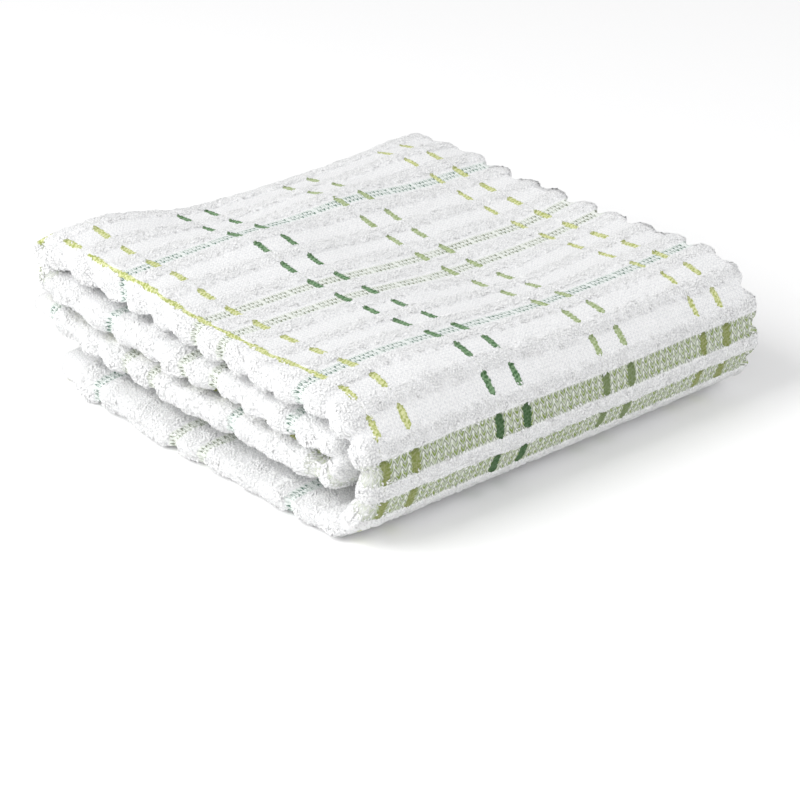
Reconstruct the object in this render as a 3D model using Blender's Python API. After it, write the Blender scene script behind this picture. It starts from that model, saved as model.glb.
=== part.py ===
"""A ribbed terry kitchen towel, folded in thirds across its width and then in half twice.

The cloth is one solid.  Its outline across the width is a flattened spiral of three panels: top,
tucked and under.  That outline, called a lip, is carried along a back-and-forth path of four
lips that lie on each other.  Metres, +Z up, the origin under the middle of the folded towel.
+X runs along the ribs, and the big rounded fold faces -Y.
"""
import math
from collections import namedtuple

import bmesh
import bpy

# Driving dimensions
MM = 0.001
RIB_PITCH = 13.9 * MM            # from one terry rib to the next
WIDTH = 165.0 * MM               # folded size along the ribs
LIP_HEIGHT = 11.3 * MM           # three layers on each other
LAYER = 3.3 * MM                 # one layer of ribbed terry
RIB_RISE = 1.3 * MM              # a rib above the flat weave beside it
RIB_PUFF = 2.0 * MM              # how far a rib's end bulges past the fold
EDGE_PUFF = 2.0                  # and how much more at the cloth's own edge
TURN_PUFF = 1.6                  # and round the narrow fold under that edge
LAYER_GAP = (LIP_HEIGHT - 3 * LAYER) / 2

# Heights of the four lips' middles above the surface
UNDER_LIP = LIP_HEIGHT / 2
TUCKED_LIP = UNDER_LIP + 13.0 * MM
MIDDLE_LIP = TUCKED_LIP + 11.8 * MM
TOP_LIP = MIDDLE_LIP + 11.8 * MM
HEIGHT = TOP_LIP + LIP_HEIGHT / 2

# Where the runs turn and end, in rib pitches from the top's back edge towards the front
BACK_TURN = -0.95
FRONT_TURN = 9.55
INNER_TURN = 9.5
UNDER_END = -0.55
TUCKED_END = -1.6
FRONT_REACH = FRONT_TURN * RIB_PITCH + (TOP_LIP - UNDER_LIP) / 2 + LIP_HEIGHT / 2
BACK_REACH = BACK_TURN * RIB_PITCH - (TOP_LIP - MIDDLE_LIP) / 2 - LIP_HEIGHT / 2
MIDDLE_PLACE = (FRONT_REACH + BACK_REACH) / 2

# Each run and bend of the path: its rib numbers, its places from back to front, its heights, how
# far it lies off the middle along +X, and the rows of points that each rib gets
Fold = namedtuple(
    "Fold", "first_rib last_rib start_place end_place start_height end_height "
            "start_shift end_shift rows")
FOLDS = (
    Fold(24.8, 14.95, UNDER_END, FRONT_TURN, UNDER_LIP, UNDER_LIP, -1.1 * MM, -0.6 * MM, 2),
    Fold(14.95, 9.55, FRONT_TURN, FRONT_TURN, UNDER_LIP, TOP_LIP, -0.6 * MM, -0.6 * MM, 3),
    Fold(9.55, -0.7, FRONT_TURN, BACK_TURN, TOP_LIP, TOP_LIP, -0.6 * MM, 0.0, 3),
    Fold(-0.7, -2.5, BACK_TURN, BACK_TURN, TOP_LIP, MIDDLE_LIP, 0.0, 0.4 * MM, 3),
    Fold(-2.5, -12.9, BACK_TURN, INNER_TURN, MIDDLE_LIP, MIDDLE_LIP, 0.4 * MM, 1.0 * MM, 2),
    Fold(-12.9, -15.7, INNER_TURN, INNER_TURN, MIDDLE_LIP, TUCKED_LIP, 1.0 * MM, 0.8 * MM, 3),
    Fold(-15.7, -26.8, INNER_TURN, TUCKED_END, TUCKED_LIP, TUCKED_LIP, 0.8 * MM, 0.4 * MM, 2),
)
PRESSED_RIBS = (14.95, 12.6)     # flat underneath before the first, fully ribbed from the second
HEM = 12.0 * MM                  # the flat hem at each short end of the cloth

BACK_DRAW = 0.5                  # the middle of the back fold is drawn in so far, in ribs
DRAW_STARTS = (8 * MM, 46 * MM)
DRAW_ENDS = (121 * MM, 159 * MM)
BEND_SQUEEZE = 0.17              # a lip is thinner by such a share on the inner side of a bend

# Soft rises and hollows of the top, with middles and spreads measured from the back left corner
Swell = namedtuple("Swell", "along place rise spread_along spread_place")
SWELLS = (
    Swell(51 * MM, 36 * MM, 4.6 * MM, 26 * MM, 17 * MM),
    Swell(96 * MM, 24 * MM, 4.6 * MM, 26 * MM, 18 * MM),
    Swell(144 * MM, 8 * MM, 4.2 * MM, 30 * MM, 19 * MM),
    Swell(104 * MM, 90 * MM, -4.8 * MM, 40 * MM, 40 * MM),
    Swell(142 * MM, 72 * MM, -2.2 * MM, 20 * MM, 30 * MM),
    Swell(26 * MM, 135 * MM, 2.6 * MM, 34 * MM, 24 * MM),
    Swell(12 * MM, 42 * MM, 1.8 * MM, 18 * MM, 16 * MM),
    Swell(22 * MM, -6 * MM, 2.5 * MM, 20 * MM, 12 * MM),
    Swell(12 * MM, -2 * MM, 3.8 * MM, 34 * MM, 36 * MM),
)

# How the left fold lies at some ribs: how far it bulges beyond its crease, how far it is raised, and
# its thickness as a share of the lip's
Lean = namedtuple("Lean", "rib reach lift share")
LEANS = (
    Lean(24.8, 0.8 * MM, -0.4 * MM, 0.92),
    Lean(23.0, 3.6 * MM, -0.4 * MM, 0.93),
    Lean(20.0, 4.5 * MM, -1.6 * MM, 0.72),
    Lean(16.0, 4.0 * MM, -1.6 * MM, 0.72),
    Lean(12.5, 3.5 * MM, 0.0, 0.95),
    Lean(9.0, 6.0 * MM, 0.0, 1.0),
    Lean(5.5, 2.0 * MM, 0.0, 1.0),
    Lean(2.0, -1.2 * MM, -0.4 * MM, 1.1),
    Lean(-0.5, 1.2 * MM, 0.0, 1.0),
    Lean(-1.2, -1.6 * MM, 0.0, 0.95),
    Lean(-3.2, 3.0 * MM, 0.8 * MM, 0.85),
    Lean(-5.0, 1.2 * MM, -2.4 * MM, 0.92),
    Lean(-8.0, 3.6 * MM, -1.4 * MM, 0.95),
    Lean(-9.0, 2.4 * MM, -0.6 * MM, 0.97),
    Lean(-12.0, 6.0 * MM, 0.0, 0.98),
    Lean(-15.7, 4.0 * MM, 0.0, 0.94),
    Lean(-19.0, 2.6 * MM, -0.8 * MM, 0.93),
    Lean(-22.0, 2.2 * MM, -1.4 * MM, 0.86),
    Lean(-24.5, 2.4 * MM, -0.2 * MM, 0.84),
    Lean(-26.8, 2.0 * MM, 3.6 * MM, 0.70),
)
CREASE = -WIDTH / 2 + 3.5 * MM   # the left fold's upper crease
LEAN_SPREAD = 26.0 * MM          # the lip takes up its own thickness over so much of its width
MIDDLE_SHIFT = 2.14 * MM         # brings the folded towel's middle over the origin

# Faceting: a rib is a flat of weave between two stations, then its own crest
FLAT_HALF = 0.22                 # of a rib pitch
CREST = 0.5
ROW_OFFSETS = {3: (CREST, FLAT_HALF, -FLAT_HALF), 2: (CREST, 0.0)}
BEND_STEPS = 6                   # round the outline's wide fold
TURN_STEPS = 4                   # round its narrow one
FOLD_SQUARENESS = 0.58           # 1 is a round fold, less is a squarer one
TOP_SHARES = (0.125, 0.25, 0.375, 0.5, 0.625, 0.75, 0.875)
INSIDE_SHARES = (0.25, 0.5, 0.75)

OutlinePoint = namedtuple("OutlinePoint", "along rise puff relief")


def fold_arc(middle, level, reach, half_height, direction, steps):
    """Points round a fold of the outline, from its upper side to its lower one."""
    points = []
    for step in range(steps + 1):
        angle = math.pi * step / steps
        bulge = math.sin(angle) ** FOLD_SQUARENESS if 0 < step < steps else 0.0
        height = math.cos(angle)
        height = math.copysign(abs(height) ** FOLD_SQUARENESS, height)
        points.append((middle + direction * reach * bulge, level + half_height * height, bulge))
    return points


def lip_outline():
    """The closed outline of three panels, one third of the width each, as (along, rise) points."""
    half = LIP_HEIGHT / 2
    left_reach = half - 0.4 * MM
    left_middle = -WIDTH / 2 + RIB_PUFF + left_reach
    right_level = -half + LAYER + LAYER_GAP / 2
    right_reach = LAYER + LAYER_GAP / 2
    right_middle = WIDTH / 2 - RIB_PUFF - right_reach
    edge = WIDTH / 2 - RIB_PUFF - 1.0 * MM
    tuck = left_middle + 2.5 * MM
    top_inside = half - LAYER
    tucked_top = top_inside - LAYER_GAP
    under_inside = -half + LAYER

    def runs(shares, rise, relief):
        """Points of a straight run, at the same places across in every layer."""
        for share in shares:
            along = left_middle + share * (right_middle - left_middle)
            yield OutlinePoint(along, rise, 0.0, relief)

    rightwards = INSIDE_SHARES
    leftwards = INSIDE_SHARES[::-1]
    outline = [
        OutlinePoint(edge, half - 1.0 * MM, EDGE_PUFF, -0.5),
        OutlinePoint(edge - 1.6 * MM, half, EDGE_PUFF, 1.0),
    ]
    outline.extend(runs(TOP_SHARES[::-1], half, 1.0))
    for along, rise, bulge in fold_arc(left_middle, 0.0, left_reach, half, -1, BEND_STEPS):
        outline.append(OutlinePoint(along, rise, -bulge, rise / half))
    outline.extend(runs(rightwards, -half, -1.0))
    for along, rise, bulge in reversed(
            fold_arc(right_middle, right_level, right_reach, right_reach, 1, TURN_STEPS)):
        relief = -1.0 if rise < -half + 0.1 * MM else 0.0
        outline.append(OutlinePoint(along, rise, TURN_PUFF * bulge, relief))
    outline.extend(runs(leftwards, tucked_top, 0.0))
    outline.append(OutlinePoint(tuck, tucked_top, 0.0, 0.0))
    outline.append(OutlinePoint(tuck, under_inside + LAYER_GAP, 0.0, 0.0))
    outline.extend(runs(rightwards, under_inside + LAYER_GAP, 0.0))
    outline.append(OutlinePoint(right_middle, under_inside + LAYER_GAP, 0.0, 0.0))
    outline.append(OutlinePoint(right_middle, under_inside, 0.0, 0.0))
    outline.extend(runs(leftwards, under_inside, 0.0))
    inside_arc = fold_arc(left_middle, 0.0, left_reach - LAYER, top_inside, -1, TURN_STEPS)
    for along, rise, bulge in reversed(inside_arc):
        outline.append(OutlinePoint(along, rise, -bulge, 0.0))
    outline.extend(runs(rightwards + (1.0,), top_inside, 0.0))
    outline.append(OutlinePoint(edge, top_inside, EDGE_PUFF, 0.0))
    return outline


def rib_stations():
    """Rib numbers at which the outline is placed, from the under lip's end to the tucked one's."""
    first = FOLDS[0].first_rib
    last = FOLDS[-1].last_rib
    stations = [first]
    for rib in range(math.floor(first) + 1, math.ceil(last) - 2, -1):
        fold = next((row for row in FOLDS if rib >= row.last_rib), FOLDS[-1])
        for offset in ROW_OFFSETS[fold.rows]:
            station = rib + offset
            if last + 0.1 < station < first - 0.1:
                stations.append(station)
    stations.append(last)
    return stations


def rib_relief(rib):
    """0 on the flat weave and the hems, 1 on a rib's crest."""
    hem_ribs = HEM / RIB_PITCH
    if rib > FOLDS[0].first_rib - hem_ribs or rib < FOLDS[-1].last_rib + hem_ribs:
        return 0.0
    away = abs(rib - round(rib))
    return max(0.0, (away - FLAT_HALF) / (CREST - FLAT_HALF))


def soft_step(low, high, value):
    """0 below low, 1 above high, smooth between them."""
    share = min(1.0, max(0.0, (value - low) / (high - low)))
    return share * share * (3 - 2 * share)


def drawn_folds(along):
    """The folds at a place across, where the back bend is drawn towards the front."""
    from_left = along + WIDTH / 2
    draw = BACK_DRAW * soft_step(*DRAW_STARTS, from_left) * (1.0 - soft_step(*DRAW_ENDS, from_left))
    turn = BACK_TURN + draw
    under, front, top, back, middle, inner, tucked = FOLDS
    top = top._replace(last_rib=top.last_rib + draw / 2, end_place=turn)
    back = back._replace(first_rib=top.last_rib, last_rib=back.last_rib + draw,
                         start_place=turn, end_place=turn)
    middle = middle._replace(first_rib=back.last_rib, start_place=turn)
    return under, front, top, back, middle, inner, tucked


def lean_at(rib):
    """The left fold's reach, lift and share of thickness at a rib."""
    after = next((row for row in LEANS if row.rib <= rib), LEANS[-1])
    before = next((row for row in reversed(LEANS) if row.rib > rib), after)
    if before.rib == after.rib:
        return after.reach, after.lift, after.share
    share = soft_step(after.rib, before.rib, rib)
    return tuple(last + share * (first - last) for first, last in zip(before[1:], after[1:]))


def path_at(rib, folds):
    """Shift, place and height of the lip's middle at a rib, and the way its outer side faces."""
    fold = next(row for row in folds if rib >= row.last_rib)
    share = (fold.first_rib - rib) / (fold.first_rib - fold.last_rib)
    shift = fold.start_shift + share * (fold.end_shift - fold.start_shift)
    place = fold.start_place + share * (fold.end_place - fold.start_place)
    if fold.start_height == fold.end_height:
        onward = math.copysign(1.0, fold.end_place - fold.start_place)
        return shift, place * RIB_PITCH, fold.start_height, 0.0, -onward
    towards = 1.0 if place * RIB_PITCH > MIDDLE_PLACE else -1.0
    half_climb = (fold.end_height - fold.start_height) / 2
    angle = math.pi * share
    place = place * RIB_PITCH + towards * abs(half_climb) * math.sin(angle)
    height = (fold.start_height + fold.end_height) / 2 - half_climb * math.cos(angle)
    face_place = math.copysign(math.sin(angle), half_climb)
    return shift, place, height, face_place, -towards * math.cos(angle)


def swell_at(along, place, height):
    """How far the cloth at a point is lifted or let down, none where it rests."""
    lift = 0.0
    for row in SWELLS:
        across = (along + WIDTH / 2 - row.along) / row.spread_along
        deep = (place - row.place) / row.spread_place
        lift += row.rise * math.exp(-across * across - deep * deep)
    return lift * height / HEIGHT


def folded_point(point, rib, folds):
    """World position of an outline point at a rib number."""
    relief = rib_relief(rib)
    shift, place, height, face_place, face_height = path_at(rib, folds)
    reach, lift, thickness = lean_at(rib)
    flat, ribbed = PRESSED_RIBS
    pressed = min(1.0, max(0.0, (rib - ribbed) / (flat - ribbed)))
    sunk = RIB_RISE * (1.0 - relief) * point.relief
    if point.relief > 0:
        sunk *= 1.0 - pressed
    rise = point.rise - sunk
    along = point.along + shift + RIB_PUFF * relief * point.puff
    left_end = -WIDTH / 2 + RIB_PUFF
    along -= reach * min(1.0, max(0.0, (CREASE - point.along) / (CREASE - left_end)))
    leaning = 1.0 - soft_step(CREASE, CREASE + LEAN_SPREAD, point.along)
    rise *= 1.0 + leaning * (thickness - 1.0)
    if rise * face_place * (place - MIDDLE_PLACE) < 0:
        rise *= 1.0 - BEND_SQUEEZE * abs(face_place)
    place += rise * face_place
    height += rise * face_height + lift * leaning
    height += swell_at(along, place, height)
    return along + MIDDLE_SHIFT, MIDDLE_PLACE - place, max(0.0, height)


def make_towel(collection):
    """The folded towel, from a flat grid whose columns go round the outline."""
    outline = lip_outline()
    stations = rib_stations()
    folds = [drawn_folds(point.along) for point in outline]
    columns = len(outline)
    rows = len(stations) - 1
    bm = bmesh.new()
    bmesh.ops.create_grid(bm, x_segments=columns, y_segments=rows, size=0.5)
    for vert in bm.verts:
        column = round((vert.co.x + 0.5) * columns) % columns
        row = round((vert.co.y + 0.5) * rows)
        vert.co = folded_point(outline[column], stations[row], folds[column])
    bmesh.ops.remove_doubles(bm, verts=bm.verts, dist=0.000001)
    bmesh.ops.holes_fill(bm, edges=[edge for edge in bm.edges if edge.is_boundary], sides=0)
    bmesh.ops.triangulate(bm, faces=bm.faces)
    bmesh.ops.recalc_face_normals(bm, faces=bm.faces)
    mesh = bpy.data.meshes.new("towel")
    bm.to_mesh(mesh)
    bm.free()
    mesh.shade_smooth()
    mesh.set_sharp_from_angle(angle=math.radians(60))
    towel = bpy.data.objects.new("towel", mesh)
    collection.objects.link(towel)
    return towel


def terry_material():
    """White cotton terry."""
    material = bpy.data.materials.new("white_terry")
    material.use_nodes = True
    shader = material.node_tree.nodes["Principled BSDF"]
    shader.inputs["Base Color"].default_value = (0.86, 0.87, 0.86, 1.0)
    shader.inputs["Roughness"].default_value = 0.95
    shader.inputs["Metallic"].default_value = 0.0
    material.diffuse_color = (0.86, 0.87, 0.86, 1.0)
    return material


for old in list(bpy.data.objects):
    bpy.data.objects.remove(old, do_unlink=True)
folded_towel = bpy.data.collections.new("folded_kitchen_towel")
bpy.context.scene.collection.children.link(folded_towel)
make_towel(folded_towel).data.materials.append(terry_material())
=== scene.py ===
import math
from collections import namedtuple

import bmesh
import bpy
from mathutils import Matrix, Vector, noise


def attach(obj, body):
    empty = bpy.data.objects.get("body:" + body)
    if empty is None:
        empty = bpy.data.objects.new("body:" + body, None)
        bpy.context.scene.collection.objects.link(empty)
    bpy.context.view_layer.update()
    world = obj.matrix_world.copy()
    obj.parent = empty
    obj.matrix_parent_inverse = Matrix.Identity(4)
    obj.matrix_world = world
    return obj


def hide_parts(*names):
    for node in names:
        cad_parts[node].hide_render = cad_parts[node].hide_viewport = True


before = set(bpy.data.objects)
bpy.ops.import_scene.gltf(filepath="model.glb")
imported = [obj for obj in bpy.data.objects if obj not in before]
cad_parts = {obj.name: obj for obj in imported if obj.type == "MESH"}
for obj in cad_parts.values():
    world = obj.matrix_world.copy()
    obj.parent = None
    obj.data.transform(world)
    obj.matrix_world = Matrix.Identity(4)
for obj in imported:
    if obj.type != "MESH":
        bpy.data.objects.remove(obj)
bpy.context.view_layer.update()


# The cloth: one length of white cotton terry, woven with raised ribs of loops and flat bars of
# plain weave between them.  It is folded in thirds across its width, then in half twice, so a lip
# of three layers runs back and forth four times.
MM = 0.001
RIB_PITCH = 13.9 * MM
WIDTH = 165.0 * MM               # of the three panels lying on each other
LIP_HEIGHT = 11.3 * MM
LAYER = 3.3 * MM
LAYER_GAP = (LIP_HEIGHT - 3 * LAYER) / 2
RIB_RISE = 1.3 * MM              # a rib above the flat weave beside it
RIB_PUFF = 2.0 * MM              # how far a rib's end bulges past the weave on a fold
EDGE_PUFF = 1.5                  # so many times that at the cloth's own edge
TURN_PUFF = 1.3                  # and round the narrow fold under that edge
PILE = 0.5 * MM                  # the loops stand this far out of the rib they grow on
PILE_BED = PILE * 0.6            # and the rib is let down this far under them
BAR_HALF = 0.29                  # half of a flat bar, in rib pitches
BAR_INSIDE = 0.035               # its edge climbs to the rib from so far inside it
BAR_OUTSIDE = 0.045              # to so far outside it
RIB_SHOULDER = 0.82              # a rib's height there, as a share of its crest's
RIB_CROWN = 0.18                 # and what it still rises to its crest
GROOVE_HALF = 0.10               # half of what is left of a bar where the ribs crowd round a fold
PLAIN_FILL = 0.44                # round a fold the pile closes over a bar that has no stripe
FILL_SPREAD = 0.8                # more or less so from bar to bar
FILL_STEP = 3.7
FILL_SEED = 5.5
PATTERN_RIBS = 14                # the bars repeat after so many ribs
STRIPED_BARS = (2, 5, 6, 9, 12, 13)

# The heights of the lips' middles, and the places of their bends and free ends in rib pitches, from
# the back to the front
LIP_STEP = 11.8 * MM
UNDER_STEP = 13.0 * MM
UNDER_LIP = LIP_HEIGHT / 2
TUCKED_LIP = UNDER_LIP + UNDER_STEP
MIDDLE_LIP = TUCKED_LIP + LIP_STEP
TOP_LIP = MIDDLE_LIP + LIP_STEP
HEIGHT = TOP_LIP + LIP_HEIGHT / 2
BACK_TURN = -0.95
FRONT_TURN = 9.55
INNER_TURN = 9.5
UNDER_END = -0.55
TUCKED_END = -1.6
FRONT_REACH = FRONT_TURN * RIB_PITCH + (TOP_LIP - UNDER_LIP) / 2 + LIP_HEIGHT / 2
BACK_REACH = BACK_TURN * RIB_PITCH - (TOP_LIP - MIDDLE_LIP) / 2 - LIP_HEIGHT / 2
MIDDLE_PLACE = (FRONT_REACH + BACK_REACH) / 2

# Each run and bend of the lip: rib numbers, places and heights, how far it lies off the middle along
# +X, and how many rows of mesh a rib has
Fold = namedtuple(
    "Fold", "first_rib last_rib start_place end_place start_height end_height "
            "start_shift end_shift rows")
FOLDS = (
    Fold(24.8, 14.95, UNDER_END, FRONT_TURN, UNDER_LIP, UNDER_LIP, -1.1 * MM, -0.6 * MM, 7),
    Fold(14.95, 9.55, FRONT_TURN, FRONT_TURN, UNDER_LIP, TOP_LIP, -0.6 * MM, -0.6 * MM, 12),
    Fold(9.55, 0.0, FRONT_TURN, 0.0, TOP_LIP, TOP_LIP, -0.6 * MM, 0.0, 12),
    Fold(0.0, -0.7, 0.0, BACK_TURN, TOP_LIP, TOP_LIP, 0.0, 0.0, 16),
    Fold(-0.7, -2.5, BACK_TURN, BACK_TURN, TOP_LIP, MIDDLE_LIP, 0.0, 0.4 * MM, 18),
    Fold(-2.5, -12.9, BACK_TURN, INNER_TURN, MIDDLE_LIP, MIDDLE_LIP, 0.4 * MM, 1.0 * MM, 7),
    Fold(-12.9, -15.7, INNER_TURN, INNER_TURN, MIDDLE_LIP, TUCKED_LIP, 1.0 * MM, 0.8 * MM, 9),
    Fold(-15.7, -26.8, INNER_TURN, TUCKED_END, TUCKED_LIP, TUCKED_LIP, 0.8 * MM, 0.4 * MM, 7),
)
PRESSED_RIBS = (14.95, 12.9)     # flat underneath before the first, fully ribbed from the second
HEM_RIBS = 0.86                  # a hem's width, in rib pitches
BACK_BEND = 4                    # the row above of the bend at the back
BACK_SLIP = 0.65                 # how far the outer panel creeps round it, in ribs
SLIP_RECOVERY = 3.0              # and after how many ribs it has caught up
TUCKED_CREEP = 0.22              # the tucked lip's first line of dashes lies so far inside its crease
CREEP_RIBS = (17.3, 19.0)        # from between these ribs on
CREST_RIBS = (0.6, 9.3)          # the line of dashes on the top's left crease runs on over these ribs
CREST_HALF_WIDTH = 0.045
BACK_DRAW = 0.5                  # the middle of the back fold is drawn in so far, in ribs
DRAW_STARTS = (28 * MM, 56 * MM)
DRAW_ENDS = (132 * MM, 160 * MM)
BEND_SQUEEZE = 0.17              # a lip is thinner by such a share on the inner side of a bend

# Soft rises and hollows of the top, placed from its back left corner
Swell = namedtuple("Swell", "along place rise spread_along spread_place")
SWELLS = (
    Swell(51 * MM, 36 * MM, 4.6 * MM, 26 * MM, 17 * MM),
    Swell(96 * MM, 24 * MM, 4.6 * MM, 26 * MM, 18 * MM),
    Swell(144 * MM, 8 * MM, 4.2 * MM, 30 * MM, 19 * MM),
    Swell(104 * MM, 90 * MM, -4.8 * MM, 40 * MM, 40 * MM),
    Swell(142 * MM, 72 * MM, -2.2 * MM, 20 * MM, 30 * MM),
    Swell(26 * MM, 135 * MM, 2.6 * MM, 34 * MM, 24 * MM),
    Swell(12 * MM, 42 * MM, 1.8 * MM, 18 * MM, 16 * MM),
    Swell(22 * MM, -6 * MM, 2.5 * MM, 20 * MM, 12 * MM),
    Swell(12 * MM, -2 * MM, 3.8 * MM, 34 * MM, 36 * MM),
)

# How the left fold lies at some ribs: how far it bulges beyond its crease, how far it is raised, and
# its thickness as a share of the lip's
Lean = namedtuple("Lean", "rib reach lift share")
LEANS = (
    Lean(24.8, 0.8 * MM, -0.4 * MM, 0.92),
    Lean(23.0, 3.6 * MM, -0.4 * MM, 0.93),
    Lean(20.0, 4.5 * MM, -1.6 * MM, 0.72),
    Lean(16.0, 4.0 * MM, -1.6 * MM, 0.72),
    Lean(12.5, 3.5 * MM, 0.0, 0.95),
    Lean(9.0, 6.0 * MM, 0.0, 1.0),
    Lean(5.5, 2.0 * MM, 0.0, 1.0),
    Lean(2.0, -1.2 * MM, -0.4 * MM, 1.1),
    Lean(-0.5, 1.2 * MM, 0.0, 1.0),
    Lean(-1.2, -1.6 * MM, 0.0, 0.95),
    Lean(-3.2, 3.0 * MM, 0.8 * MM, 0.85),
    Lean(-5.0, 1.2 * MM, -2.4 * MM, 0.92),
    Lean(-8.0, 3.6 * MM, -1.4 * MM, 0.95),
    Lean(-9.0, 2.4 * MM, -0.6 * MM, 0.97),
    Lean(-12.0, 6.0 * MM, 0.0, 0.98),
    Lean(-15.7, 4.0 * MM, 0.0, 0.94),
    Lean(-19.0, 2.6 * MM, -0.8 * MM, 0.93),
    Lean(-22.0, 2.2 * MM, -1.4 * MM, 0.86),
    Lean(-24.5, 2.4 * MM, -0.2 * MM, 0.84),
    Lean(-26.8, 2.0 * MM, 3.6 * MM, 0.70),
)
LEAN_SPREAD = 26.0 * MM          # the lip takes up its own thickness over so much of its width

# A spot of the lip's outline: its place along +X and its rise from the lip's middle, its share of a
# rib's bulge, how much it faces up or down, its place across the cloth, and its part of the outline
Spot = namedtuple("Spot", "along rise puff face across part")
LEFT_SQUARENESS = 0.5            # a fold's outline: 1 is round, less is squarer
RIGHT_SQUARENESS = 0.8
CREASE = -WIDTH / 2 + 3.5 * MM   # the left fold's upper crease, where the pattern starts
MIDDLE_SHIFT = 2.14 * MM         # brings the folded towel's middle over the origin
LEFT_END = -WIDTH / 2 + RIB_PUFF
LEFT_TIGHTNESS = 0.4 * MM        # the left fold reaches less far than half its height by so much
TUCK_INSET = 2.5 * MM            # the inner panel's edge lies so far inside that fold
EDGE_INSET = 0.3 * MM            # the free edge of the top panel, inside the fold below it
EDGE_SOFTENING = 6 * MM          # the bulge of that edge sets in over so much of the panel
UNDER_RIM = 12 * MM              # the underside's columns are finer over so much beside its folds
# The free edge is rounded: how far past it and below its top, and how much the cloth faces up there
Corner = namedtuple("Corner", "past below face")
EDGE_CORNERS = (Corner(0.4 * MM, 1.6 * MM, 0.2), Corner(0.0, 0.5 * MM, 0.7))


def soft_step(low, high, value):
    """0 below low, 1 above high, smooth between them."""
    share = min(1.0, max(0.0, (value - low) / (high - low)))
    return share * share * (3 - 2 * share)


def fold_arc(middle, level, reach, half_height, direction, steps, squareness):
    """Points round a fold of the outline, from its upper side to its lower one."""
    points = []
    for step in range(steps + 1):
        angle = math.pi * step / steps
        bulge = math.sin(angle) ** squareness if 0 < step < steps else 0.0
        height = math.cos(angle)
        height = math.copysign(abs(height) ** squareness, height)
        points.append((middle + direction * reach * bulge, level + half_height * height, bulge))
    return points


def lip_outline():
    """The closed outline of the three panels, fine on the sides that show."""
    half = LIP_HEIGHT / 2
    left_reach = half - LEFT_TIGHTNESS
    left_middle = -WIDTH / 2 + RIB_PUFF + left_reach
    right_level = -half + LAYER + LAYER_GAP / 2
    right_reach = LAYER + LAYER_GAP / 2
    right_middle = WIDTH / 2 - RIB_PUFF - right_reach
    edge = WIDTH / 2 - RIB_PUFF - EDGE_INSET
    tuck = left_middle + TUCK_INSET
    top_inside = half - LAYER
    outline = []

    def add(along, rise, puff, face, part):
        outline.append(Spot(along, rise, puff, face, 0.0, part))

    def add_run(first, last, rise, face, part, steps):
        for step in range(steps):
            along = first + step / steps * (last - first)
            puff = EDGE_PUFF * soft_step(edge - EDGE_SOFTENING, edge, along) if part == "top" else 0.0
            add(along, rise, puff, face, part)

    for corner in EDGE_CORNERS:
        add(edge + corner.past, half - corner.below, EDGE_PUFF, corner.face, "edge")
    add_run(edge - 0.9 * MM, left_middle, half, 1.0, "top", steps=100)
    for along, rise, bulge in fold_arc(
            left_middle, 0.0, left_reach, half, -1, steps=24, squareness=LEFT_SQUARENESS):
        add(along, rise, -bulge, rise / half, "left")
    add_run(left_middle + 2 * MM, left_middle + UNDER_RIM, -half, -1.0, "under", steps=5)
    add_run(left_middle + UNDER_RIM, right_middle - UNDER_RIM, -half, -1.0, "under", steps=10)
    add_run(right_middle - UNDER_RIM, right_middle, -half, -1.0, "under", steps=6)
    for along, rise, bulge in reversed(fold_arc(
            right_middle, right_level, right_reach, right_reach, 1, steps=12,
            squareness=RIGHT_SQUARENESS)):
        add(along, rise, TURN_PUFF * bulge, min(0.0, (rise - right_level) / right_reach), "right")
    add_run(right_middle - 3 * MM, tuck, half - LAYER - LAYER_GAP, 0.0, "inside", steps=12)
    add(tuck, half - LAYER - LAYER_GAP, 0.0, 0.0, "inside")
    add(tuck, -half + LAYER + LAYER_GAP, 0.0, 0.0, "inside")
    add_run(tuck + 3 * MM, right_middle, -half + LAYER + LAYER_GAP, 0.0, "inside", steps=8)
    add(right_middle, -half + LAYER + LAYER_GAP, 0.0, 0.0, "inside")
    add_run(right_middle, left_middle, -half + LAYER, 0.0, "inside", steps=8)
    for along, rise, bulge in reversed(fold_arc(
            left_middle, 0.0, left_reach - LAYER, top_inside, -1, steps=6,
            squareness=LEFT_SQUARENESS)):
        add(along, rise, -bulge, 0.0, "inside")
    add_run(left_middle + 3 * MM, edge - 2 * MM, top_inside, 0.0, "inside", steps=12)
    add(edge - 2 * MM, top_inside, EDGE_PUFF, 0.0, "edge")
    add(edge + 0.2 * MM, top_inside + 0.5 * MM, EDGE_PUFF, 0.0, "edge")
    return measured(outline)


def measured(outline):
    """The outline with each spot's place across the cloth, in rib pitches from the left crease."""
    result = []
    for index, spot in enumerate(outline):
        if spot.part == "top" or (spot.part == "left" and spot.rise > 0 and spot.along > CREASE):
            across = (spot.along - CREASE) / RIB_PITCH
        elif spot.part in ("left", "under", "right"):
            before = outline[index - 1]
            step = math.hypot(spot.along - before.along, spot.rise - before.rise) / RIB_PITCH
            across = result[-1].across - step
        else:
            across = (spot.along - CREASE) / RIB_PITCH
        result.append(spot._replace(across=across))
    return result


def rows_of_mesh():
    """Rib numbers of the mesh's rows, from the under lip's end to the tucked lip's end."""
    stations = []
    for fold in FOLDS:
        count = max(1, round((fold.first_rib - fold.last_rib) * fold.rows))
        for step in range(count):
            stations.append(fold.first_rib + step / count * (fold.last_rib - fold.first_rib))
    stations.append(FOLDS[-1].last_rib)
    return stations


def drawn_folds(draw):
    """The folds, where the back bend is drawn towards the front by so many ribs."""
    under, front, top, brow, back, middle, inner, tucked = FOLDS
    turn = BACK_TURN + draw
    brow = brow._replace(last_rib=brow.last_rib + draw / 2, end_place=turn)
    back = back._replace(first_rib=brow.last_rib, last_rib=back.last_rib + draw,
                         start_place=turn, end_place=turn)
    middle = middle._replace(first_rib=back.last_rib, start_place=turn)
    return under, front, top, brow, back, middle, inner, tucked


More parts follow.
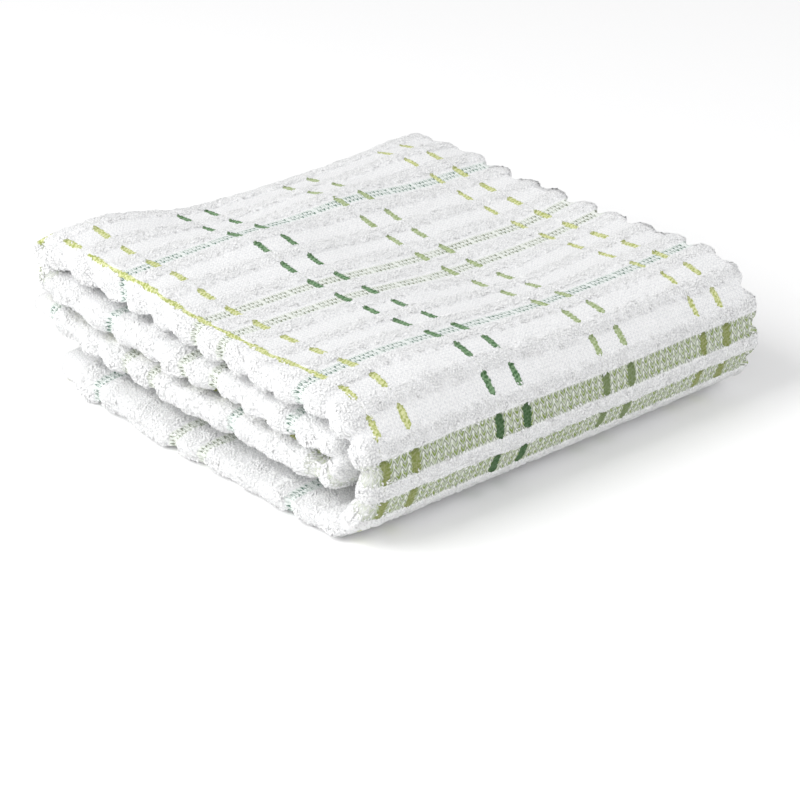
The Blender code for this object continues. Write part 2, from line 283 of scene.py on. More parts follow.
def draw_at(along):
    """How far the back bend is drawn in at a place along it, in ribs."""
    from_left = along + WIDTH / 2
    return BACK_DRAW * soft_step(*DRAW_STARTS, from_left) * (1.0 - soft_step(*DRAW_ENDS, from_left))


def path_at(rib, folds):
    """Shift, place and height of the lip's middle at a rib, and the way its outer side faces."""
    fold = next(row for row in folds if rib >= row.last_rib)
    share = (fold.first_rib - rib) / (fold.first_rib - fold.last_rib)
    shift = fold.start_shift + share * (fold.end_shift - fold.start_shift)
    place = fold.start_place + share * (fold.end_place - fold.start_place)
    if fold.start_height == fold.end_height:
        onward = math.copysign(1.0, fold.end_place - fold.start_place)
        return shift, place * RIB_PITCH, fold.start_height, 0.0, -onward
    towards = 1.0 if place * RIB_PITCH > MIDDLE_PLACE else -1.0
    half_climb = (fold.end_height - fold.start_height) / 2
    angle = math.pi * share
    place = place * RIB_PITCH + towards * abs(half_climb) * math.sin(angle)
    height = (fold.start_height + fold.end_height) / 2 - half_climb * math.cos(angle)
    face_place = math.copysign(math.sin(angle), half_climb)
    return shift, place, height, face_place, -towards * math.cos(angle)


def slip_at(rib, folds):
    """How far the outer panel has crept past the middle one, in ribs."""
    bend = folds[BACK_BEND]
    if rib > bend.first_rib:
        return 0.0
    if rib > bend.last_rib:
        return -BACK_SLIP * (bend.first_rib - rib) / (bend.first_rib - bend.last_rib)
    return -BACK_SLIP * (1.0 - soft_step(0.0, SLIP_RECOVERY, bend.last_rib - rib))


def pile_share(rib, roundness):
    """0 in a flat bar or a hem, 1 on a rib.  Round a fold the ribs crowd the bars to grooves."""
    if rib > FOLDS[0].first_rib - HEM_RIBS or rib < FOLDS[-1].last_rib + HEM_RIBS:
        return 0.0
    away = abs(rib - round(rib))
    flat = soft_step(BAR_HALF - BAR_INSIDE, BAR_HALF + BAR_OUTSIDE, away)
    flat *= RIB_SHOULDER + RIB_CROWN * soft_step(BAR_HALF, 0.5, away)
    share = min(1.0, max(0.0, (away - GROOVE_HALF) / (0.5 - GROOVE_HALF)))
    scallop = math.sqrt(1.0 - (1.0 - share) ** 2)
    if round(rib) % PATTERN_RIBS not in STRIPED_BARS:
        spread = noise.noise(Vector((round(rib) * FILL_STEP, 0.0, FILL_SEED)))
        scallop = max(scallop, PLAIN_FILL + FILL_SPREAD * spread)
    return flat + roundness * (scallop - flat)


def swell_at(along, place, height):
    """How far the cloth at a point is lifted or let down, none where it rests."""
    lift = 0.0
    for row in SWELLS:
        sideways = (along + WIDTH / 2 - row.along) / row.spread_along
        deep = (place - row.place) / row.spread_place
        lift += row.rise * math.exp(-sideways * sideways - deep * deep)
    return lift * height / HEIGHT


def lean_at(rib):
    """The left fold's reach, lift and share of thickness at a rib."""
    after = next((row for row in LEANS if row.rib <= rib), LEANS[-1])
    before = next((row for row in reversed(LEANS) if row.rib > rib), after)
    if before.rib == after.rib:
        return after.reach, after.lift, after.share
    share = soft_step(after.rib, before.rib, rib)
    return tuple(last + share * (first - last) for first, last in zip(before[1:], after[1:]))


OPEN_RIBS = (-3.0, 14.3)         # between these the top panel is open to view
EDGES_OPEN_TO = 15.5             # beyond this rib it is all out of sight
LEFT_SHOWS = (0.3, 0.9)          # else it goes out of sight between these, in rib pitches across
RIGHT_SHOWS = (10.6, 11.0)       # and comes into sight again between these
UNDER_SHOWS = (6 * MM, 9 * MM)   # the underside goes out of sight between these, from the left


def shown(spot, station):
    """1 where the cloth's face is open to view, 0 where it lies between layers."""
    first_open, last_open = OPEN_RIBS
    if spot.part == "top":
        near = max(1.0 - soft_step(*LEFT_SHOWS, spot.across), soft_step(*RIGHT_SHOWS, spot.across))
        if first_open < station < last_open:
            return 1.0
        return 0.0 if station > EDGES_OPEN_TO else near
    if spot.part == "under":
        near = 1.0 - soft_step(*UNDER_SHOWS, spot.along + WIDTH / 2)
        return 0.0 if station > last_open else near
    return 1.0 if spot.part in ("left", "right", "edge") else 0.0


# Where the cloth is uneven: how fine each noise is across the cloth and from rib to rib, how it
# changes from its upper to its lower face, and its seed
Noise = namedtuple("Noise", "across rib face seed")
WANDER = Noise(0.45, 0.8, 1.0, 0.0)
FRAY = Noise(4.2, 2.3, 1.0, 0.0)
CLUMP = Noise(3.9, 3.9, 2.0, 7.0)
LUMP = Noise(1.1, 0.9, 2.0, 31.0)
RIB_WANDER = 0.045               # how far a rib wanders, in rib pitches
RIB_FRAY = 0.06                  # and how far its pile frays
LUMP_SHARE = 0.9                 # a rib's end bulges by so much more or less
CLUMP_PUFF = 0.8 * MM
CLUMP_RISE = 0.36 * MM


def unevenness(kind, across, rib, face):
    """One of the cloth's noises at a spot, about -1 to 1."""
    return noise.noise(Vector((across * kind.across, rib * kind.rib, face * kind.face + kind.seed)))


def place_spot(spot, station, folds):
    """World position of an outline spot on a row, its rib number and its pile."""
    shift, place, height, face_place, face_height = path_at(station, folds)
    reach, lift, thickness = lean_at(station)
    outer = spot.face if spot.part != "inside" else 0.0
    rib = station + slip_at(station, folds) * outer
    rib += RIB_WANDER * unevenness(WANDER, spot.across, station, outer)
    frayed = rib + RIB_FRAY * unevenness(FRAY, spot.across, station, outer)
    roundness = min(1.0, abs(spot.puff)) if spot.part in ("left", "right", "edge") else 0.0
    pile = pile_share(frayed, roundness)
    flat, ribbed = PRESSED_RIBS
    pressed = min(1.0, max(0.0, (station - ribbed) / (flat - ribbed)))
    sunk = RIB_RISE * (1.0 - pile) * spot.face
    if spot.face > 0:
        sunk *= 1.0 - pressed
    rise = spot.rise - sunk
    clump = unevenness(CLUMP, spot.across, rib, outer)
    lump = unevenness(LUMP, spot.across, rib, outer)
    swelled = RIB_PUFF * pile * (1.0 + LUMP_SHARE * lump) + CLUMP_PUFF * clump * pile
    along = spot.along + shift + swelled * spot.puff
    if spot.part != "inside":
        rise += (CLUMP_RISE * clump * pile - PILE_BED * pile) * spot.face * (1.0 - pressed)
    beyond = min(1.0, max(0.0, (CREASE - spot.along) / (CREASE - LEFT_END)))
    along -= reach * beyond
    across = spot.across - TUCKED_CREEP * soft_step(*CREEP_RIBS, -station)
    if spot.part in ("left", "under"):
        across -= reach * (beyond if spot.rise > 0 else 2.0 - beyond) / RIB_PITCH
    leaning = 1.0 - soft_step(CREASE, CREASE + LEAN_SPREAD, spot.along)
    rise *= 1.0 + leaning * (thickness - 1.0)
    if rise * face_place * (place - MIDDLE_PLACE) < 0:
        rise *= 1.0 - BEND_SQUEEZE * abs(face_place)
    place += rise * face_place
    height += rise * face_height + lift * leaning
    height += swell_at(along, place, height)
    if CREST_RIBS[0] < rib < CREST_RIBS[1] and abs(across) < CREST_HALF_WIDTH:
        pile = 0.0
    spot = Vector((along + MIDDLE_SHIFT, MIDDLE_PLACE - place, max(0.0, height)))
    return spot, (across, rib), pile


def make_cloth():
    """The folded towel, from a flat grid whose columns go round the outline."""
    outline = lip_outline()
    stations = rows_of_mesh()
    columns = len(outline)
    rows = len(stations) - 1
    folds = [drawn_folds(draw_at(spot.along)) for spot in outline]
    bm = bmesh.new()
    bmesh.ops.create_grid(bm, x_segments=columns, y_segments=rows, size=0.5)
    weave = bm.loops.layers.uv.new("weave")
    pile_layer = bm.verts.layers.float.new("pile")
    for vert in bm.verts:
        column = round((vert.co.x + 0.5) * columns)
        row = round((vert.co.y + 0.5) * rows)
        spot = outline[column % columns]
        place, thread, pile = place_spot(spot, stations[row], folds[column % columns])
        vert[pile_layer] = pile * shown(spot, stations[row])
        for loop in vert.link_loops:
            loop[weave].uv = thread
        vert.co = place
    bmesh.ops.remove_doubles(bm, verts=bm.verts, dist=0.000001)
    bmesh.ops.holes_fill(bm, edges=[edge for edge in bm.edges if edge.is_boundary], sides=0)
    bmesh.ops.recalc_face_normals(bm, faces=bm.faces)
    mesh = bpy.data.meshes.new("cloth")
    bm.to_mesh(mesh)
    bm.free()
    mesh.shade_smooth()
    cloth = bpy.data.objects.new("cloth", mesh)
    bpy.context.scene.collection.objects.link(cloth)
    return cloth


def put(tree, kind, *values, **settings):
    """Adds a node with its settings, and gives its inputs sockets to follow or plain values."""
    node = tree.nodes.new(kind)
    for name, value in settings.items():
        setattr(node, name, value)
    for socket, value in zip(node.inputs, values):
        if isinstance(value, bpy.types.NodeSocket):
            tree.links.new(value, socket)
        elif value is not None:
            socket.default_value = value
    return node


def reckon(tree, operation, *values):
    """One Math node's result."""
    return put(tree, "ShaderNodeMath", *values, operation=operation).outputs[0]


def plus(tree, first, second):
    """The sum of two values."""
    return reckon(tree, "ADD", first, second)


def minus(tree, first, second):
    """One value less another."""
    return reckon(tree, "SUBTRACT", first, second)


def times(tree, first, second):
    """The product of two values."""
    return reckon(tree, "MULTIPLY", first, second)


def absolute(tree, value):
    """A value without its sign."""
    return reckon(tree, "ABSOLUTE", value)


def blend_colours(tree, share, first, second):
    """Two colours mixed by a share."""
    node = put(tree, "ShaderNodeMix", data_type="RGBA")
    for name, value in (("Factor_Float", share), ("A_Color", first), ("B_Color", second)):
        socket = next(item for item in node.inputs if item.identifier == name)
        if isinstance(value, bpy.types.NodeSocket):
            tree.links.new(value, socket)
        else:
            socket.default_value = value
    return next(item for item in node.outputs if item.identifier == "Result_Color")


def paint(red, green, blue):
    """A colour as the eye reads it, turned to the linear values that Blender takes."""
    values = []
    for part in (red, green, blue):
        part /= 255
        values.append(part / 12.92 if part <= 0.04045 else ((part + 0.055) / 1.055) ** 2.4)
    return (*values, 1.0)


def ramp(tree, value, start, end, first, last):
    """A value from first to last, as another goes from start to end, with soft ends."""
    node = put(tree, "ShaderNodeMapRange", value, start, end, first, last,
               interpolation_type="SMOOTHSTEP")
    return node.outputs[0]


GROUP_WIDTH = 0.8125             # a warp group, in rib pitches: stitches between two half gaps
FINE_THREADS = 22.0              # the fine threads in the gaps are so many to a whole group's width
FINE_ROUND = (-0.3, 0.6)
GAP_EDGE = 0.03
V_FOOT = 0.33                    # a V's two legs meet so far past the row's middle
LEG_SLOPE = 1.75                 # and run back so steeply
LEG_CORE = 0.3                   # a leg keeps its full colour over so much of its width
STITCH_SIDES = (0.30, 0.46)      # and ends between these, from the V's middle
OTHER_DROP = 0.05                # the ground's own V's lie half a row and so much past them
OTHER_CORE = 0.06
OTHER_WIDTH = 0.62


def stitch_group():
    """A row of V stitches, a few to a warp group, and fine threads between the groups."""
    group = bpy.data.node_groups.new("v_stitches", "ShaderNodeTree")
    for name in ("Across", "Row", "Stitches", "Width", "Gap"):
        group.interface.new_socket(name, in_out="INPUT", socket_type="NodeSocketFloat")
    for name in ("Stitch", "Between"):
        group.interface.new_socket(name, in_out="OUTPUT", socket_type="NodeSocketFloat")
    source = group.nodes.new("NodeGroupInput")
    result = group.nodes.new("NodeGroupOutput")
    width = source.outputs["Width"]
    gap = source.outputs["Gap"]
    half_gap = times(group, gap, 0.5)
    share = reckon(group, "FRACT", reckon(group, "DIVIDE", source.outputs["Across"], GROUP_WIDTH))
    stitches = reckon(group, "DIVIDE", source.outputs["Stitches"], minus(group, 1.0, gap))
    column = times(group, minus(group, share, half_gap), stitches)
    aside = absolute(group, minus(group, reckon(group, "FRACT", column), 0.5))
    down = minus(group, reckon(group, "FRACT", source.outputs["Row"]), 0.5)
    leg = plus(group, minus(group, down, V_FOOT), times(group, aside, LEG_SLOPE))
    thread = ramp(group, absolute(group, leg), times(group, width, LEG_CORE), width, 1.0, 0.0)
    thread = times(group, thread, ramp(group, aside, *STITCH_SIDES, 1.0, 0.0))
    other_leg = reckon(group, "FRACT", minus(group, leg, OTHER_DROP))
    other_leg = absolute(group, minus(group, other_leg, 0.5))
    other = ramp(group, other_leg, OTHER_CORE, times(group, width, OTHER_WIDTH), 1.0, 0.0)
    from_middle = absolute(group, minus(group, share, 0.5))
    between = ramp(group, from_middle, minus(group, 0.5, half_gap),
                   minus(group, 0.5 + GAP_EDGE, half_gap), 0.0, 1.0)
    apart = minus(group, 1.0, between)
    fine = reckon(group, "SINE", times(group, share, math.tau * FINE_THREADS))
    fine = times(group, ramp(group, fine, *FINE_ROUND, 0.0, 1.0), between)
    thread = times(group, thread, apart)
    group.links.new(thread, result.inputs["Stitch"])
    group.links.new(reckon(group, "MULTIPLY_ADD", other, apart, fine), result.inputs["Between"])
    return group


# The threads' own unevenness: how far they stray, their fuzz, the flecks of light yarn among them,
# and where the stitches are worn paler
Grain = namedtuple("Grain", "fineness detail roughness")
STRAY = Grain(380.0, 2.0, 0.5)
FUZZ = Grain(1500.0, 3.0, 0.6)
FLECKS = Grain(1400.0, 1.0, 0.5)
FLECK_RANGE = (0.38, 0.60)
FADING = Grain(620.0, 2.0, 0.5)
FADING_RANGE = (0.35, 0.60)
FADED_SHARE = 0.45               # the palest stitches keep so much of their colour
UNEVEN_ACROSS = 0.05             # in rib pitches
UNEVEN_RIB = 0.025
Threads = namedtuple("Threads", "across rib number off away fuzz flecks faded")


def grain_at(tree, spot, grain):
    """A soft noise as fine as a grain says."""
    return put(tree, "ShaderNodeTexNoise", spot, None, *grain)


def lay_threads(tree):
    """Where the threads lie, a little uneven, and the fuzz on them."""
    places = put(tree, "ShaderNodeSeparateXYZ",
                 put(tree, "ShaderNodeUVMap", uv_map="weave").outputs[0])
    spot = put(tree, "ShaderNodeTexCoord").outputs["Object"]
    stray = put(tree, "ShaderNodeSeparateColor", grain_at(tree, spot, STRAY).outputs["Color"])
    stray_across = times(tree, minus(tree, stray.outputs[0], 0.5), UNEVEN_ACROSS)
    stray_rib = times(tree, minus(tree, stray.outputs[1], 0.5), UNEVEN_RIB)
    across = plus(tree, places.outputs[0], stray_across)
    rib = plus(tree, places.outputs[1], stray_rib)
    number = reckon(tree, "ROUND", rib)
    off = minus(tree, rib, number)
    return Threads(
        across, rib, number, off, absolute(tree, off),
        grain_at(tree, spot, FUZZ).outputs[0],
        ramp(tree, grain_at(tree, spot, FLECKS).outputs[0], *FLECK_RANGE, 0.0, 1.0),
        ramp(tree, grain_at(tree, spot, FADING).outputs[0], *FADING_RANGE, FADED_SHARE, 1.0))


WHITE = paint(243, 243, 243)
SHADE_WHITE = paint(214, 215, 217)
TICK_DEPTH = 0.45                # how much the plain weave's ticks show in its fuzz
WHITE_RANGE = (0.25, 0.8)        # ticks and fuzz go from the shaded white to the full one
# A row of stitches: how many rows to a rib pitch and where they start, the stitches to a group, the
# width of their thread as a share of a row, and the gap beside them as a share of the group
Weave = namedtuple("Weave", "rows phase stitches width gap")
NARROW_WEAVE = Weave(6.6, 0.0, 6.0, 0.37, 0.09)
BAND_WEAVE = Weave(5.3, 0.5, 4.0, 0.38, 0.0)
PLAIN_WEAVE = Weave(11.0, 0.0, 8.0, 0.32, 0.0)
MINT = paint(243, 247, 245)
TEAL = paint(50, 94, 76)
PALE = paint(244, 246, 240)
OLIVE_GREY = paint(104, 114, 91)
BAND = paint(221, 224, 217)
BAND_LIME = paint(128, 146, 76)
SOFT_GREY = paint(156, 172, 162)
BETWEEN_GREY = paint(126, 134, 114)
# A striped bar: its number in the pattern, half its width in rib pitches, its weave and its colours
Bar = namedtuple("Bar", "number half weave ground between between_share stitch")
BARS = (
    Bar(2, 0.165, NARROW_WEAVE, MINT, SOFT_GREY, 0.42, TEAL),
    Bar(9, 0.165, NARROW_WEAVE, MINT, SOFT_GREY, 0.42, TEAL),
    Bar(5, 0.165, NARROW_WEAVE, PALE, SOFT_GREY, 0.42, OLIVE_GREY),
    Bar(6, 0.165, NARROW_WEAVE, PALE, SOFT_GREY, 0.42, OLIVE_GREY),
    Bar(12, 0.290, BAND_WEAVE, BAND, BETWEEN_GREY, 0.85, BAND_LIME),
    Bar(13, 0.290, BAND_WEAVE, BAND, BETWEEN_GREY, 0.85, BAND_LIME),
)
BAR_BORDER = 0.02                # a bar's colour fades over so much on both sides of its edge
BAND_PAINTED_HIGHLIGHT = (-0.45, 0.02)         # painted highlight: the bands are paled beyond the left crease, on the brightly lit left face, between these
BAND_HIGHLIGHT_KEEPS = 0.42            # keeping so much of their colour


def stitches_of(tree, laid, group, weave):
    """One weave's stitches, their rows counted from the middle of the nearest bar."""
    row = plus(tree, times(tree, laid.off, weave.rows), weave.phase)
    node = put(tree, "ShaderNodeGroup", node_tree=group)
    tree.links.new(laid.across, node.inputs["Across"])
    tree.links.new(row, node.inputs["Row"])
    node.inputs["Stitches"].default_value = weave.stitches
    node.inputs["Width"].default_value = weave.width
    node.inputs["Gap"].default_value = weave.gap
    return node


def weave_bars(tree, laid, colour, woven_as):
    """The striped bars over the plain weave, and where the two bands are."""
    count = reckon(tree, "FLOORED_MODULO", laid.number, float(PATTERN_RIBS))
    # painted highlight: the bands pale out on the brightly lit left face
    highlit_band = ramp(tree, laid.across, *BAND_PAINTED_HIGHLIGHT, BAND_HIGHLIGHT_KEEPS, 1.0)
    on_band = None
    for bar in BARS:
        chosen = reckon(tree, "COMPARE", count, float(bar.number), 0.5)
        border = ramp(tree, laid.away, bar.half - BAR_BORDER, bar.half + BAR_BORDER, 1.0, 0.0)
        threads = woven_as[bar.weave]
        between = times(tree, threads.outputs["Between"], bar.between_share)
        woven = blend_colours(tree, between, bar.ground, bar.between)
        stitch = times(tree, threads.outputs["Stitch"], laid.faded)
        woven = blend_colours(tree, stitch, woven, bar.stitch)
        mask = times(tree, chosen, border)
        if bar.weave == BAND_WEAVE:
            # painted highlight on the left face
            mask = times(tree, mask, highlit_band)
            on_band = chosen if on_band is None else reckon(tree, "MAXIMUM", on_band, chosen)
        colour = blend_colours(tree, mask, colour, woven)
    return colour, on_band


PATTERN_ACROSS = 9.75            # the lines of dashes repeat after so many pitches across
# Painted shade: the dark green that the shaded end of a dash is mixed towards
DASH_SHADE_GREEN = paint(44, 62, 30)
LIME = paint(165, 175, 98)
LIME_LIGHT = paint(220, 223, 172)
GREEN = paint(73, 107, 71)
GREEN_LIGHT = paint(132, 162, 126)
SAGE = paint(142, 160, 108)
SAGE_LIGHT = paint(186, 198, 160)
# A line of dashes: its place and half its width in rib pitches, and the two colours of its yarn
Dash = namedtuple("Dash", "across half_width dark light")
DASHES = (
    Dash(0.0, 0.080, LIME, LIME_LIGHT),
    Dash(0.80, 0.100, LIME, LIME_LIGHT),
    Dash(3.23, 0.100, GREEN, GREEN_LIGHT),
    Dash(4.05, 0.100, GREEN, GREEN_LIGHT),
    Dash(6.53, 0.096, SAGE, SAGE_LIGHT),
    Dash(7.33, 0.096, SAGE, SAGE_LIGHT),
)
DASH_HALF_LENGTH = 0.305         # in rib pitches
DASH_BLUNTNESS = 9.0             # a dash keeps its width to near its ends
DASH_FRAY = (0.35, 0.83)         # its ends fray: so much with the fuzz, and so much without
DASH_FLECKS = 0.03               # and so do its sides
DASH_SIDES = (-0.006, 0.018)
DASH_SWELL = 0.3                 # it is wider where it crosses a band
DASH_TWISTS = 10.0               # turns of the yarn to a rib pitch
TWIST_SLANT = 4.0                # and how steeply they run
TWIST_FLECKS = 2.6
TWIST_LIGHT = (-0.8, 3.2)
SHADED_DASH_END = (-0.34, -0.10)        # painted shade: the end of a dash towards the rib behind it lies in that rib's shadow, and is darkened between these
SHADED_END_KEEPS = 0.6
BAND_RIBS = (0.0, 1.0)           # the bands after the first rib are those at the front
BAND_DASH_SHADE = 0.5            # a dash on them is so much darker: its yarn is darker there, with painted shade of the shaded front
# the light turns of its yarn are dulled by so much, partly darker yarn and partly painted shade
BAND_DASH_DULLNESS = -0.35
TRACE_HALF_WIDTH = 0.022         # between its dashes a thread parts the loops of the rib: a grey line for the thread, with painted shade in the parting
TRACE_SHARE = 0.7
TRACE_BREAKS = (0.46, 0.62)      # it is broken where the fuzz covers it
# the grey of the traces, thread with painted shade, and of the hem seams' thread
TRACE_GREY = paint(176, 180, 168)


def twist_dashes(tree, laid, colour, on_band):
    """The lines of twisted dashes and the threads between them, and where the dashes are."""
    turned = reckon(tree, "FLOORED_MODULO", plus(tree, laid.across, 1.0), PATTERN_ACROSS)
    frayed = reckon(tree, "MULTIPLY_ADD", laid.fuzz, *DASH_FRAY)
    length = reckon(tree, "DIVIDE", laid.away, DASH_HALF_LENGTH)
    length = reckon(tree, "POWER", times(tree, length, frayed), DASH_BLUNTNESS)
    taper = minus(tree, 1.0, length)
    widened = times(tree, taper, reckon(tree, "MULTIPLY_ADD", on_band, DASH_SWELL, 1.0))
    # painted shade on the end of the dash nearest the rib behind it
    shaded_end = ramp(tree, laid.off, *SHADED_DASH_END, SHADED_END_KEEPS, 1.0)
    # dashes on the front bands: darker yarn, with painted shade of the front
    dark_yarn_and_shade_band = times(tree, on_band, ramp(tree, laid.rib, *BAND_RIBS, 0.0, 1.0))
    dulled = reckon(tree, "MULTIPLY_ADD", dark_yarn_and_shade_band, BAND_DASH_DULLNESS, 1.0)
    shade = minus(tree, 1.0, times(tree, dark_yarn_and_shade_band, BAND_DASH_SHADE))
    broken = times(tree, ramp(tree, laid.fuzz, *TRACE_BREAKS, 0.0, 1.0), TRACE_SHARE)
    on_dash = None
    for dash in DASHES:
        beside = minus(tree, turned, dash.across + 1.0)
        aside = absolute(tree, beside)
        # the thread and painted shade where the loops part over it
        trace = ramp(tree, aside, TRACE_HALF_WIDTH * 0.5, TRACE_HALF_WIDTH, 1.0, 0.0)
        colour = blend_colours(tree, times(tree, trace, broken), colour, TRACE_GREY)
        past = minus(tree, reckon(tree, "MULTIPLY_ADD", laid.flecks, DASH_FLECKS, aside),
                     times(tree, widened, dash.half_width))
        mask = ramp(tree, past, *DASH_SIDES, 1.0, 0.0)
        twist = reckon(tree, "MULTIPLY_ADD", beside, TWIST_SLANT, times(tree, laid.off, DASH_TWISTS))
        twist = reckon(tree, "SINE", times(tree, twist, math.tau))
        twist = reckon(tree, "MULTIPLY_ADD", laid.flecks, TWIST_FLECKS, twist)
        lit = ramp(tree, twist, *TWIST_LIGHT, 0.0, 1.0)
        thread = blend_colours(tree, times(tree, lit, dulled), dash.dark, dash.light)
        # painted shade: the shaded end of the dash is mixed towards a dark green
        thread = blend_colours(tree, times(tree, shaded_end, shade), DASH_SHADE_GREEN, thread)
        colour = blend_colours(tree, mask, colour, thread)
        on_dash = mask if on_dash is None else reckon(tree, "MAXIMUM", on_dash, mask)
    return colour, on_dash


CREST_BORDER = 0.02
CREST_WAIST = -0.045             # the line thins from each bar to the crest of the rib beside it
CREST_END = 0.05                 # and fades over the last of its length, in ribs


def line_crest(tree, laid, colour):
    """The lime line that runs on along the top's left crease."""
    first, last = CREST_RIBS
    half_length = (last - first) / 2
    thinned = reckon(tree, "MULTIPLY_ADD", laid.away, CREST_WAIST, CREST_HALF_WIDTH + CREST_BORDER)
    past = minus(tree, absolute(tree, laid.across), thinned)
    on_crest = ramp(tree, past, -CREST_BORDER, 0.0, 1.0, 0.0)
    from_middle = absolute(tree, minus(tree, laid.rib, (first + last) / 2))
    along_crest = ramp(tree, from_middle, half_length - CREST_END, half_length, 1.0, 0.0)
    yarn = blend_colours(tree, laid.flecks, LIME, LIME_LIGHT)
    return blend_colours(tree, times(tree, on_crest, along_crest), colour, yarn)


HEM_SEAMS = (FOLDS[0].first_rib - HEM_RIBS, FOLDS[-1].last_rib + HEM_RIBS)
HEM_STITCHES = 5.0               # to a rib pitch
HEM_STITCH_ROUND = (-0.4, 0.0)
HEM_THREAD = (0.012, 0.026)      # the seam's thread fades between these, in rib pitches
HEM_THREAD_SHARE = 0.55


def sew_hems(tree, laid, colour):
    """The seams of the two hems, and where their stitches pull the cloth in."""
    first, last = (absolute(tree, minus(tree, laid.rib, seam)) for seam in HEM_SEAMS)
    from_hem = reckon(tree, "MINIMUM", first, last)
    sewn = reckon(tree, "SINE", times(tree, laid.across, math.tau * HEM_STITCHES))
    sewn = ramp(tree, sewn, *HEM_STITCH_ROUND, 0.0, 1.0)
    sewn = times(tree, sewn, ramp(tree, from_hem, *HEM_THREAD, 1.0, 0.0))
    share = times(tree, sewn, HEM_THREAD_SHARE)
    return blend_colours(tree, share, colour, TRACE_GREY), sewn


COTTON_ROUGHNESS = 0.95
WOVEN_SPECULAR = 0.12
WOVEN_SOFTNESS = 0.4
LIGHT_DEPTH = 2.0 * MM           # light goes so far into the cotton
TICK_HEIGHT = 0.6
FUZZ_HEIGHT = 1.8
DASH_HEIGHT = 0.6
SEAM_DEPTH = 1.2
BUMP_STRENGTH = 0.6
BUMP_HEIGHT = 0.35 * MM


def soften(shader, weight):
    """Lets a little light through the cotton."""
    shader.inputs["Subsurface Weight"].default_value = weight
    shader.inputs["Subsurface Radius"].default_value = (1.0, 1.0, 1.0)
    shader.inputs["Subsurface Scale"].default_value = LIGHT_DEPTH


def cloth_material(group):
    """Woven cotton: stitched bars, dashes and plain white, with the weave in the bump."""
    material = bpy.data.materials.new("ribbed_terry")
    material.use_nodes = True
    tree = material.node_tree
    shader = tree.nodes["Principled BSDF"]
    laid = lay_threads(tree)
    woven_as = {weave: stitches_of(tree, laid, group, weave)
                for weave in (NARROW_WEAVE, BAND_WEAVE, PLAIN_WEAVE)}
    ticks = woven_as[PLAIN_WEAVE].outputs["Stitch"]
    grain = plus(tree, times(tree, ticks, TICK_DEPTH), laid.fuzz)
    colour = blend_colours(tree, ramp(tree, grain, *WHITE_RANGE, 0.0, 1.0), SHADE_WHITE, WHITE)
    colour, on_band = weave_bars(tree, laid, colour, woven_as)
    colour, on_dash = twist_dashes(tree, laid, colour, on_band)
    colour = line_crest(tree, laid, colour)
    colour, sewn = sew_hems(tree, laid, colour)
    tree.links.new(colour, shader.inputs["Base Color"])
    shader.inputs["Roughness"].default_value = COTTON_ROUGHNESS
    shader.inputs["Specular IOR Level"].default_value = WOVEN_SPECULAR
    soften(shader, WOVEN_SOFTNESS)
    height = plus(tree, times(tree, ticks, TICK_HEIGHT), times(tree, laid.fuzz, FUZZ_HEIGHT))
    height = plus(tree, height, times(tree, on_dash, DASH_HEIGHT))
    height = minus(tree, height, times(tree, sewn, SEAM_DEPTH))
    bump = put(tree, "ShaderNodeBump", BUMP_STRENGTH, BUMP_HEIGHT)
    tree.links.new(height, bump.inputs["Height"])
    tree.links.new(bump.outputs[0], shader.inputs["Normal"])
    return material


cloth = make_cloth()
cloth.data.materials.append(cloth_material(stitch_group()))
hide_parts("towel")
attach(cloth, "root")


# The pile: small loops of soft white yarn that stand out of the ribs.  Every loop is the same bent
# piece of yarn, turned and leaned its own way, and rooted in the cloth.
LOOP_HALF_WIDTH = 0.36 * MM
LOOP_TALL = 0.95                 # its height as a share of its half width
YARN_HALF = 0.28 * MM
LOOP_ROOT = 0.28 * MM            # the ends of a loop are sunk so far in the cloth
LOOP_LEAN = 0.5                  # a loop leans up to so many radians
LOOP_SPACING = 0.75 * MM
LOOP_TRIES = 3.0                 # so many are tried on each square of that side, and the close ones go
LOOP_SIZES = (0.7, 1.4)          # the loops are small and large in turn, in soft clumps
LOOP_CLUMPS = Grain(260.0, 2.0, 0.6)
CLUMP_RANGE = (0.32, 0.68)       # the clumps' noise at the smallest and at the largest loops
PILE_STARTS = 0.3                # a face grows loops where its pile is more than this
LIE = "lie"                      # which way the cloth under a loop faces
LOOP_RELIEF = 0.38               # a loop's own shape counts so much in its shading, beside the cloth's
LOWEST_ROOT = 1.4 * MM           # no loop is rooted lower, so none goes through what the towel lies on
TRACE_PARTING = 0.022            # loops nearer than this to a trace are left out, in rib pitches
YARN_WHITE = paint(254, 254, 254)
YARN_SHADE = paint(251, 252, 252)
YARN_CLOUDS = Grain(260.0, 3.0, 0.6)
LOOP_SPECULAR = 0.1
LOOP_SOFTNESS = 0.2


def make_loop():
    """One loop: a three-sided yarn spun through half a turn."""
    bm = bmesh.new()
    ring = bmesh.ops.create_circle(bm, segments=3, radius=YARN_HALF)
    bmesh.ops.translate(bm, verts=ring["verts"], vec=(LOOP_HALF_WIDTH, 0, 0))
    bmesh.ops.spin(bm, geom=bm.verts[:] + bm.edges[:], cent=(0, 0, 0), axis=(0, -1, 0),
                   angle=math.pi, steps=3)
    bmesh.ops.holes_fill(bm, edges=[edge for edge in bm.edges if edge.is_boundary], sides=0)
    bmesh.ops.scale(bm, verts=bm.verts, vec=(1.0, 1.0, LOOP_TALL))
    bmesh.ops.translate(bm, verts=bm.verts, vec=(0, 0, -LOOP_ROOT))
    bmesh.ops.recalc_face_normals(bm, faces=bm.faces)
    mesh = bpy.data.meshes.new("loop")
    bm.to_mesh(mesh)
    bm.free()
    loop = bpy.data.objects.new("loop", mesh)
    bpy.context.scene.collection.objects.link(loop)
    return loop


